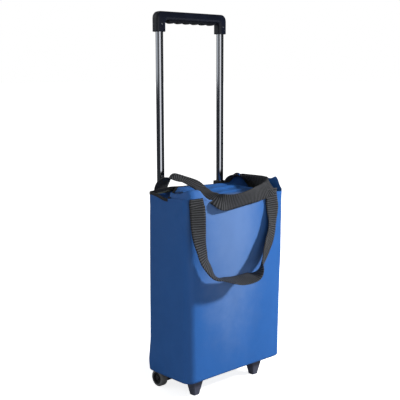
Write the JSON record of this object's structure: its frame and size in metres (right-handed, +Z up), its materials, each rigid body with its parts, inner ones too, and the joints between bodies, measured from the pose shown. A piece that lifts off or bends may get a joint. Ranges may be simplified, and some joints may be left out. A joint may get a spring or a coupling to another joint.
{
  "type": "shopping trolley on wheels",
  "caption": "Soft tote bag on a telescopic handle, with rear wheels, front feet and webbing carry straps.",
  "frame": {"origin": "on the floor, under the middle of the whole object", "axes": "+X to the right seen from the front, -Y out of the front panel, +Z up along the tubes"},
  "size_m": [0.3262, 0.2575, 0.95],
  "materials": {
    "bag_fabric": "woven polyester, coated inside",
    "lining": "black coated lining",
    "binding_tape": "folded black tape",
    "webbing": "ribbed polypropylene webbing",
    "inner_tube": "black chrome, polished",
    "outer_tube": "black powder coat",
    "handle_plastic": "fine moulded grain",
    "grip_insert": "softer moulded insert",
    "rivet_steel": "bright",
    "collar_plastic": "moulded",
    "button_plastic": "moulded",
    "spring_steel": "drawn wire",
    "glide_plastic": "natural acetal",
    "base_plastic": "moulded, slate grey",
    "hub_plastic": "moulded",
    "tyre": "soft moulded tyre",
    "zinc_steel": "zinc plated",
    "board_plastic": "pressed sheet"
  },
  "bodies": {
    "base": {"axle": "zinc_steel", "axle_cap_left": "zinc_steel", "axle_cap_right": "zinc_steel", "axle_washers": "zinc_steel", "bag_body": "bag_fabric", "bag_lining": "lining", "base_board": "board_plastic", "base_screws": "zinc_steel", "collar_left": "collar_plastic", "collar_right": "collar_plastic", "cross_tube": "outer_tube", "flap_binding": "binding_tape", "foot_left": "base_plastic", "foot_right": "base_plastic", "front_strap_tabs": "webbing", "lock_springs": "spring_steel", "outer_tube_left": "outer_tube", "outer_tube_right": "outer_tube", "rear_strap_tabs": "webbing", "rim_binding": "binding_tape", "top_flap": "bag_fabric", "tube_sleeve_left": "bag_fabric", "tube_sleeve_right": "bag_fabric", "wheel_housing_left": "base_plastic", "wheel_housing_right": "base_plastic"},
    "handle": {"grip_insert": "grip_insert", "handle_rivets": "rivet_steel", "handle_shell": "handle_plastic", "inner_tube_left": "inner_tube", "inner_tube_right": "inner_tube", "tube_glide_left": "glide_plastic", "tube_glide_right": "glide_plastic"},
    "wheel_left": {"wheel_hub_left": "hub_plastic", "tyre_left": "tyre"},
    "wheel_right": {"wheel_hub_right": "hub_plastic", "tyre_right": "tyre"},
    "lock_left": {"lock_button_left": "button_plastic"},
    "lock_right": {"lock_button_right": "button_plastic"},
    "front_strap": {"front_strap": "webbing"},
    "rear_strap": {"rear_strap": "webbing"}
  },
  "joints": [
    {"name": "handle_slide", "type": "slide", "parent": "base", "child": "handle", "axis": [0, 0, 1], "range_m": [-0.38, 0]},
    {"name": "wheel_left_spin", "type": "hinge", "parent": "base", "child": "wheel_left", "pos_m": [-0.134, 0.081, 0.022], "axis": [1, 0, 0], "continuous": true},
    {"name": "wheel_right_spin", "type": "hinge", "parent": "base", "child": "wheel_right", "pos_m": [0.134, 0.081, 0.022], "axis": [1, 0, 0], "continuous": true},
    {"name": "lock_left_press", "type": "slide", "parent": "base", "child": "lock_left", "axis": [0, -1, 0], "range_m": [0, 0.003], "stiffness_N_per_m": 700, "springref_m": -0.002},
    {"name": "lock_right_press", "type": "slide", "parent": "base", "child": "lock_right", "axis": [0, -1, 0], "range_m": [0, 0.003], "stiffness_N_per_m": 700, "springref_m": -0.002},
    {"name": "front_strap_swing", "type": "hinge", "parent": "base", "child": "front_strap", "pos_m": [0, -0.0699, 0.506], "axis": [-1, 0, 0], "range_deg": [0, 150]},
    {"name": "rear_strap_swing", "type": "hinge", "parent": "base", "child": "rear_strap", "pos_m": [0, 0.0881, 0.5075], "axis": [-1, 0, 0], "range_deg": [0, 40]}
  ]
}
